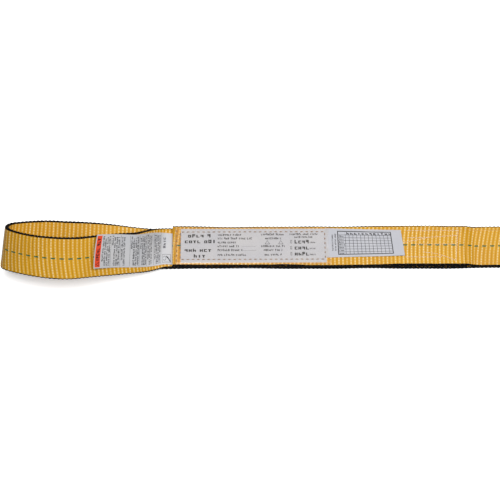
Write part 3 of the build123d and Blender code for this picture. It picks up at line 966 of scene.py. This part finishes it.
# Strokes of block letters in a unit box: left, right, low, high.
STROKES = {
    "left": (0.0, 0.38, 0.0, 1.0), "right": (0.62, 1.0, 0.0, 1.0), "stem": (0.28, 0.72, 0.0, 1.0),
    "top": (0.0, 1.0, 0.74, 1.0), "middle": (0.0, 1.0, 0.38, 0.64), "foot": (0.0, 1.0, 0.0, 0.26),
    "short": (0.62, 1.0, 0.0, 0.64),
}
LETTERS = (("left", "top", "foot"), ("left", "right", "middle"), ("stem", "top"), ("left", "foot"),
           ("left", "top", "middle"), ("left", "short", "middle"), ("left", "right", "top", "foot"),
           ("stem",), ("right", "middle", "top"))
NARROW = 0.62                   # width of a letter for its height, in small print
LETTER_PITCH = 1.3              # letter to letter, in widths
WORD_GAP = 0.9                  # added between words, in widths


def letters(rng, start, stop, height, narrow):
    """Boxes of letter-like strokes that spell nothing, grouped in words."""
    wide = height * narrow
    at = start
    while at + wide < stop:
        for _ in range(rng.randint(3, 8)):
            if at + wide > stop:
                break
            tall = height * rng.choice((0.8, 0.8, 1.0))
            for stroke in rng.choice(LETTERS):
                left, right, low, high = STROKES[stroke]
                yield at + wide * left, at + wide * right, tall * low, tall * high
            at += wide * LETTER_PITCH
        at += wide * WORD_GAP


class Sheet:
    """A printed sheet on a surface: one closed mesh with its print, each in its own material."""

    def __init__(self, name, surface, materials, rng=None):
        self.name = name
        self.surface = surface
        self.points = []
        self.faces = []
        self.paint = []
        self.materials = materials
        self.rng = rng

    def block(self, columns, rows, bottom, top, material):
        """A thin plate over the grid of columns and rows, between two heights."""
        base = len(self.points)
        wide = len(columns)
        tall = len(rows)
        for level in (bottom, top):
            for u in columns:
                for v in rows:
                    self.points.append(self.surface(u, v, level))

        def quad(*places, flip=False):
            """A face between four points, each given by its level, column and row."""
            face = tuple(base + (level * wide + i) * tall + j for level, i, j in places)
            self.faces.append(face[::-1] if flip else face)
            self.paint.append(material)

        for i in range(wide - 1):
            for j in range(tall - 1):
                quad((1, i, j), (1, i + 1, j), (1, i + 1, j + 1), (1, i, j + 1))
                quad((0, i, j), (0, i, j + 1), (0, i + 1, j + 1), (0, i + 1, j))
        for i in range(wide - 1):
            for j in (0, tall - 1):
                quad((0, i, j), (0, i + 1, j), (1, i + 1, j), (1, i, j), flip=j > 0)
        for j in range(tall - 1):
            for i in (0, wide - 1):
                quad((0, i, j), (0, i, j + 1), (1, i, j + 1), (1, i, j), flip=i == 0)

    def mark(self, left, right, low, high, ink=DARK, top=SHEET_THICK):
        """A printed rectangle, a hair above the sheet."""
        wide = max(2, int((right - left) / PRINT_STEP) + 2)
        tall = max(2, int((high - low) / PRINT_STEP) + 2)
        self.block(np.linspace(left, right, wide), np.linspace(low, high, tall),
                   top - PRINT_SUNK, top + PRINT_RAISED, ink)

    def text(self, left, right, middle, height, narrow=NARROW, ink=DARK):
        """A line of print along x."""
        foot = middle - height / 2
        for start, stop, low, high in letters(self.rng, left, right, height, narrow):
            self.mark(start, stop, foot + low, foot + high, ink)

    def text_block(self, centre, height, lines):
        """Lines about a middle x, each given by its y and half its length; centre and lines in mm."""
        for y, half_length in lines:
            self.text((centre - half_length) * MM, (centre + half_length) * MM, y * MM, height)

    def turned_text(self, middle, low, high, height, ink=DARK, top=SHEET_THICK):
        """A line of print that reads across the webbing."""
        foot = middle - height / 2
        for start, stop, below, above in letters(self.rng, low, high, height, NARROW):
            self.mark(foot + below, foot + above, start, stop, ink, top)

    def outline(self, left, right, low, high, line):
        """Four thin lines round a rectangle."""
        self.mark(left, right, low, low + line)
        self.mark(left, right, high - line, high)
        self.mark(left, left + line, low, high)
        self.mark(right - line, right, low, high)

    def build(self, smooth=False):
        """The finished object, ready for a body."""
        obj = mesh_object(self.name, self.points, self.faces)
        for material in self.materials:
            obj.data.materials.append(material)
        obj.data.polygons.foreach_set("material_index", self.paint)
        obj.data.polygons.foreach_set("use_smooth", [smooth] * len(self.paint))
        return obj


def triangle(put, centre, foot, size, line):
    """A plain triangle in steps, on its base line; put draws one mark from its four sides."""
    steps = 7
    for step in range(steps):
        share = step / (steps - 1)
        low = foot - size / 2 + size * share * 0.86
        half = size * 0.55 * (1 - share) + 0.25 * MM
        if step == 0:
            put(centre - half, centre + half, low, low + line)
        for edge in (centre - half, centre + half - line):
            put(edge, edge + line, low, low + size / steps)


# ================================================================ labels and their cover
TOP_FACE_Z = FLOOR_Z + 2 * LEVEL + PLY
LABEL_LOW, LABEL_HIGH = corners("id_label")
COVER_LOW, COVER_HIGH = corners("clear_cover")
INSPECT_END = corners("inspection_label")[1][0] - THROAT_X


def face_point(x, y, lift):
    """A point over the flat label face of the body, x from the throat and y from the middle."""
    return np.array([THROAT_X + x, BODY_Y + y, TOP_FACE_Z + lift])


def id_label():
    """The identification label: rows of generic text, two triangles and a column of figures."""
    left = LABEL_LOW[0] - THROAT_X
    right = LABEL_HIGH[0] - THROAT_X
    half = (LABEL_HIGH[1] - LABEL_LOW[1]) / 2
    sheet = Sheet("id_label_sheet", face_point, [ID_SHEET, INK, PALE_INK], random.Random(21))
    sheet.block(np.linspace(left, right, 60), np.linspace(-half, half, 14), 0.02 * MM, SHEET_THICK, PAPER)

    # The owner's name: y of each line in mm and its share of the full width.
    name_middle = 33.5 * MM
    name_width = 38 * MM
    for y, share in ((12.6, 0.78), (5.4, 0.98), (-5.6, 1.0), (-12.8, 0.42)):
        reach = name_width * share / 2
        sheet.text(name_middle - reach, name_middle + reach, y * MM, 4.2 * MM, narrow=0.9)

    # The sling's details: y and end of each line in mm, and two blanks to fill in.
    details_left = 54 * MM
    for y, end in ((13.8, 84), (9.2, 97), (4.2, 78), (-0.6, 80), (-5.5, 84), (-11.6, 88)):
        sheet.text(details_left, end * MM, y * MM, 2.6 * MM)
    for y in (-0.9 * MM, -6.2 * MM):
        sheet.mark(82 * MM, 100 * MM, y - 0.1 * MM, y + 0.1 * MM, PALE)

    # Notes round a pair of triangles, then the heading over the figures.
    sheet.text_block(121, 2.5 * MM, ((14.2, 15), (9.2, 10), (-0.6, 15), (-5.6, 12), (-11.4, 11)))
    for centre in (113.5 * MM, 129.5 * MM):
        triangle(sheet.mark, centre, foot=4.2 * MM, size=4.8 * MM, line=0.45 * MM)
    sheet.text_block(157, 2.3 * MM, ((14.4, 17), (10.8, 11)))

    # Three figures, each with its unit after it and a small box before it.
    for y in (4.8, -2.8, -10.4):
        sheet.text(146 * MM, 163 * MM, y * MM, 4.6 * MM, narrow=0.75)
        sheet.text(164 * MM, 171 * MM, y * MM - 0.8 * MM, 2.2 * MM, ink=PALE)
        sheet.outline(141 * MM, 142.8 * MM, (y - 2) * MM, (y + 2) * MM, 0.4 * MM)
    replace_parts(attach(sheet.build(), BODIES[0]), "id_label")


INSPECT_HALF = 18.5 * MM


def inspection_label():
    """The calendar label: its root lies under the cover, its free end is loose and a little askew."""
    left = LABEL_HIGH[0] - THROAT_X - 1 * MM
    right = INSPECT_END
    lift_at = pivot("inspection_label_lift")
    hinge = lift_at[0] - THROAT_X

    def surface(u, v, lift):
        """Taper and skew towards the loose end, which lifts off the webbing a little."""
        share = (u - left) / (right - left)
        taper = 1 - 0.13 * share
        skew = 3.4 * MM * share * (v / (17 * MM)) / 2
        x = u - skew
        y = 3.2 * MM - 0.8 * MM * share + v * taper
        rise = 0.5 * MM * smoothstep((u - left) / (12 * MM)) + 1.7 * MM * share ** 2
        sag = 0.35 * MM * math.sin(math.pi * share * 2.2)
        return face_point(x, y, float(rise) + sag * share + lift)

    sheet = Sheet("inspection_label_sheet", surface, [SHEET, INK, PALE_INK], random.Random(5))
    sheet.block(np.linspace(left, right, 50), np.linspace(-INSPECT_HALF, INSPECT_HALF, 12),
                0.05 * MM, SHEET_THICK, PAPER)
    for middle in (hinge + 2.0 * MM, hinge + 5.5 * MM):
        sheet.turned_text(middle, -10 * MM, 12 * MM, 1.9 * MM)
    calendar(sheet, hinge + 8 * MM, right - 12.5 * MM)
    piece = sheet.build()
    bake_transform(piece)
    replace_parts(piece, "inspection_label")


def calendar(sheet, left, right):
    """A grid with a headed column for each month and a row for each year."""
    years = 7
    low = -15.5 * MM
    high = 15.5 * MM
    first_month = left + 9.5 * MM
    head = high - 5.2 * MM
    month_pitch = (right - first_month) / 12
    year_pitch = (head - low) / years
    half_line = 0.22 * MM
    sheet.outline(left, right, low, high, 1.0 * MM)
    for month in range(12):
        x = first_month + month_pitch * month
        sheet.mark(x - half_line, x + half_line, low, head + 1.2 * MM)
        sheet.text(x + 1.6 * MM, x + 5.6 * MM, high - 3.1 * MM, 3.2 * MM, narrow=0.85)
    for year in range(1, years + 1):
        y = low + year_pitch * year
        sheet.mark(left, right, y - half_line, y + half_line)
        sheet.text(left + 1.6 * MM, first_month - 1.0 * MM, y - year_pitch / 2, 1.9 * MM)


COVER_LEFT = 2.8 * MM           # throat to the cover's folded edge
COVER_THICK = 0.25 * MM
COVER_OVER = 0.12 * MM          # gap between the label and its cover
COVER_FOLD = 5 * MM             # length at the folded edge that needs closer columns


def clear_cover():
    """The clear cover: a thin sheet with soft waves, rounded down at its edges."""
    right = COVER_HIGH[0] - THROAT_X
    half = (COVER_HIGH[1] - COVER_LOW[1]) / 2

    def surface(u, v, lift):
        """The cover falls off at its edges and has a bead along its folded edge."""
        edge = min(half - abs(v), u - COVER_LEFT, right - u)
        fall = 0.42 * MM * (1 - smoothstep(edge / (3 * MM)))
        wave = 0.10 * MM * math.sin(u * 95) * math.sin(v * 130 + 1)
        bead = 0.8 * MM * math.exp(-((u - COVER_LEFT - 1.4 * MM) / (1.0 * MM)) ** 2)
        return face_point(u, v, SHEET_THICK + COVER_OVER - float(fall) + wave + bead + lift)

    sheet = Sheet("clear_vinyl_cover", surface, [VINYL])
    fold = np.linspace(COVER_LEFT, COVER_LEFT + COVER_FOLD, 14)
    rest = np.linspace(COVER_LEFT + COVER_FOLD, right, 110)
    sheet.block(np.concatenate([fold[:-1], rest]), np.linspace(-half, half, 40), 0, COVER_THICK, PAPER)
    piece = sheet.build(smooth=True)
    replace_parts(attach(piece, BODIES[0]), "clear_cover")


def label_stitches():
    """Stitches through the cover round the identification label, and along the cover's folded edge."""
    left = LABEL_LOW[0] - THROAT_X - 0.6 * MM
    right = LABEL_HIGH[0] - THROAT_X - 1.6 * MM
    row = 17.3 * MM
    cover_edge = 5.2 * MM

    def surface(x, y, lift):
        """A point on the cover."""
        return face_point(x, y, SHEET_THICK + 0.42 * MM + lift)

    turns = [(left, row), (right, row), (right, -row), (left, -row), (left, row)]
    paths = [[turns[number], turns[number + 1]] for number in range(4)]
    paths.append([(cover_edge, -22 * MM), (cover_edge, 22 * MM)])
    piece = stitches("label_stitches", paths, surface, LABEL_THREAD, seed=8, pitch=6.1 * MM,
                     radius=0.52 * MM, share=0.56)
    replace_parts(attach(piece, BODIES[0]), "label_stitching")


# ================================================================ warning label
WARNING_HALF = 19.6 * MM
WARNING_END = 103 * MM          # fork to the free end, along the webbing
WARNING_BURIED = 4 * MM         # how far its root reaches in past the throat
WARNING_BANDS = 7               # blocks of print, each after a rule
WARNING_LINES = 4               # lines of print in a block
WARNING_PRINT = 2.1 * MM        # height of those lines


def warning_label():
    """The warning label in three pieces: over the swing axis, over the leg's pivot, and the flap."""
    lift_at = pivot("warning_label_lift")
    start = route.lap_at(THROAT_X + WARNING_BURIED)
    end = route.marks["left_fork"] + WARNING_END
    hinge = route.marks["left_leg_root"] + np.linalg.norm(lift_at - pivot("left_eye_close"))
    cuts = [start, root_cut("left", "upper"), hinge, end]

    def surface(u, v, lift):
        """u is the distance along the route; the free end lifts and its corners bow."""
        share = (u - start) / (end - start)
        loose = max(0.0, (u - hinge) / (end - hinge))
        bow = (v / WARNING_HALF) ** 2
        across = -3.0 * MM + 12.0 * MM * share + v * (1 + 0.05 * share)
        rise = 0.35 * MM + 5.5 * MM * loose ** 2 - 0.9 * MM * loose * bow
        along = u + 1.4 * MM * loose * (1 - bow) - 1.5 * MM * loose * v / WARNING_HALF
        return route.at(along, across, PLY / 2 + rise + lift)

    rng = random.Random(33)
    materials = [WARNING_SHEET, INK, PALE_INK, RED_INK]
    pieces = []
    for number, part in enumerate(("root", "middle", "flap")):
        sheet = Sheet(f"warning_label_{part}_sheet", surface, materials, rng)
        columns = np.linspace(cuts[number], cuts[number + 1], 24)
        sheet.block(columns, np.linspace(-WARNING_HALF, WARNING_HALF, 16), 0, SHEET_THICK, PAPER)
        warning_print(sheet, cuts[number], cuts[number + 1], start, end)
        pieces.append(sheet.build())
    swing_blend(pieces[0], "left")
    blend_about(pieces[1], "left_eye_close", LEG_HEADING, LEG_BLEND)
    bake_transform(pieces[2])
    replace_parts(pieces[0], "warning_label_root")
    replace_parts(pieces[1], "warning_label_root")
    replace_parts(pieces[2], "warning_label")


def warning_print(sheet, first, last, start, end):
    """The part of the warning label's print that lies between two distances."""
    half = WARNING_HALF

    def here(left, right):
        """Whether a mark lies wholly on this piece of the label."""
        return first + 0.3 * MM < left and right < last - 0.3 * MM

    # The red band at the free end, with a title and a triangle over it.
    band_end = end - 1.3 * MM
    band_start = band_end - 6.6 * MM
    over = SHEET_THICK + 0.04 * MM
    if here(band_start, band_end):
        middle = (band_start + band_end) / 2
        sheet.mark(band_start, band_end, -half + 1.3 * MM, half - 1.3 * MM, RED)
        sheet.turned_text(middle, -half + 9 * MM, half - 3 * MM, 3.8 * MM, top=over)

        def put(low, high, left, right):
            """A mark over the band, turned to read across the webbing."""
            sheet.mark(left, right, low, high, DARK, over)

        triangle(put, centre=-half + 5 * MM, foot=middle, size=4.4 * MM, line=0.5 * MM)

    # Blocks of small print between rules; the last line of a block is short.
    print_start = start + 20 * MM
    pitch = (band_start - 1.0 * MM - print_start) / WARNING_BANDS
    top_edge = half - 1.6 * MM
    for number in range(WARNING_BANDS):
        rule = print_start + pitch * number
        if here(rule, rule + 0.3 * MM):
            sheet.mark(rule, rule + 0.24 * MM, -half + 1.2 * MM, half - 1.2 * MM)
        for line in range(WARNING_LINES):
            at = rule + pitch * (line + 0.85) / (WARNING_LINES + 0.5)
            length = sheet.rng.uniform(0.1, 0.9) if line == WARNING_LINES - 1 else 0.98
            if here(at - WARNING_PRINT, at + WARNING_PRINT):
                sheet.turned_text(at, top_edge - 2 * top_edge * length, top_edge, WARNING_PRINT)

    # A number and a framed sign at the root.
    number_at = start + 15 * MM
    if here(number_at - 2.5 * MM, number_at + 2.5 * MM):
        sheet.turned_text(number_at, 0.5 * MM, 15 * MM, 4.4 * MM, PALE)
    sign_left = start + 6.0 * MM
    if here(sign_left, sign_left + 12 * MM):
        pictogram(sheet, sign_left, -half + 2.5 * MM)


def pictogram(sheet, left, low):
    """A small framed sign with an open hook in it, and a dash of marker pen over its corner."""
    sheet.outline(left, left + 12 * MM, low, low + 10 * MM, 0.35 * MM)
    for step in range(9):
        angle = math.radians(40 + 35 * step)
        x = left + 8.5 * MM + 2.2 * MM * math.cos(angle)
        y = low + 5 * MM + 2.6 * MM * math.sin(angle)
        sheet.mark(x - 0.35 * MM, x + 0.35 * MM, y - 0.5 * MM, y + 0.5 * MM)
    for step in range(12):
        x = left + 0.5 * MM + 0.45 * MM * step
        y = low + 1.2 * MM + 0.75 * MM * step * (1 if step < 8 else 0.75)
        sheet.mark(x - 0.5 * MM, x + 0.5 * MM, y - 0.6 * MM, y + 0.6 * MM, top=SHEET_THICK + 0.02 * MM)


# ================================================================ build the object
for eye in ("left", "right"):
    eye_webbing(eye)
body_webbing()
body_stitching()
seams()
id_label()
inspection_label()
clear_cover()
label_stitches()
warning_label()


# ================================================================ studio
FLOOR_SIZE = 12
FLOOR_GAP = 0.6 * MM            # floor to the webbing, whose ribs stand out of the CAD box a little
SKY_STRENGTH = 0.1
LIGHTS = (                      # name, place, target, size, power
    ("key", (1.0, -0.15, 1.35), (0.25, 0, 0), 0.8, 13.5),
    ("fill", (0.02, -0.15, 1.5), (0.15, 0, 0), 0.6, 16.3),
)
CAMERA_AT = (0.237, -0.491, 1.412)
CAMERA_AZIMUTH = 3.64           # camera angles in degrees
CAMERA_ELEVATION = 70.96
CAMERA_ROLL = 3.26
CAMERA_WIDTH = 22.12            # angle the picture covers


def in_scene(name, data):
    """An object for a light or camera, linked to the scene."""
    obj = bpy.data.objects.new(name, data)
    bpy.context.scene.collection.objects.link(obj)
    return obj


def studio_floor():
    """A wide sheet of paper under the sling."""
    bpy.ops.mesh.primitive_plane_add(size=FLOOR_SIZE, location=(0.4, 0, FLOOR_Z - FLOOR_GAP))
    floor = bpy.context.object
    floor.name = "studio_floor"
    floor.data.materials.append(floor_material())


def area_light(name, location, target, size, power):
    """A square light, aimed at a target."""
    light = bpy.data.lights.new(name, "AREA")
    light.energy = power
    light.size = size
    obj = in_scene(name, light)
    obj.location = location
    direction = np.array(target, float) - np.array(obj.location, float)
    obj.rotation_euler = Vector(direction).to_track_quat("-Z", "Y").to_euler()


def studio():
    """Floor, soft sky and two soft lights, nearly overhead."""
    studio_floor()
    world = bpy.data.worlds.new("studio")
    world.use_nodes = True
    background = world.node_tree.nodes["Background"]
    background.inputs["Color"].default_value = (1, 1, 1, 1)
    background.inputs["Strength"].default_value = SKY_STRENGTH
    bpy.context.scene.world = world
    bpy.context.scene.view_settings.view_transform = "Standard"
    for light in LIGHTS:
        area_light(*light)


def camera():
    """Over the labelled end, tipped back from straight down, turned and rolled a little."""
    data = bpy.data.cameras.new("camera")
    data.angle = math.radians(CAMERA_WIDTH)
    data.clip_start = 0.01
    data.clip_end = 50
    obj = in_scene("camera", data)
    azimuth = Matrix.Rotation(math.radians(-CAMERA_AZIMUTH), 4, "Z")
    tilt = Matrix.Rotation(math.radians(90 - CAMERA_ELEVATION), 4, "X")
    spin = Matrix.Rotation(math.radians(CAMERA_ROLL), 4, "Z")
    obj.matrix_world = Matrix.Translation(CAMERA_AT) @ azimuth @ tilt @ spin
    bpy.context.scene.camera = obj


studio()
camera()
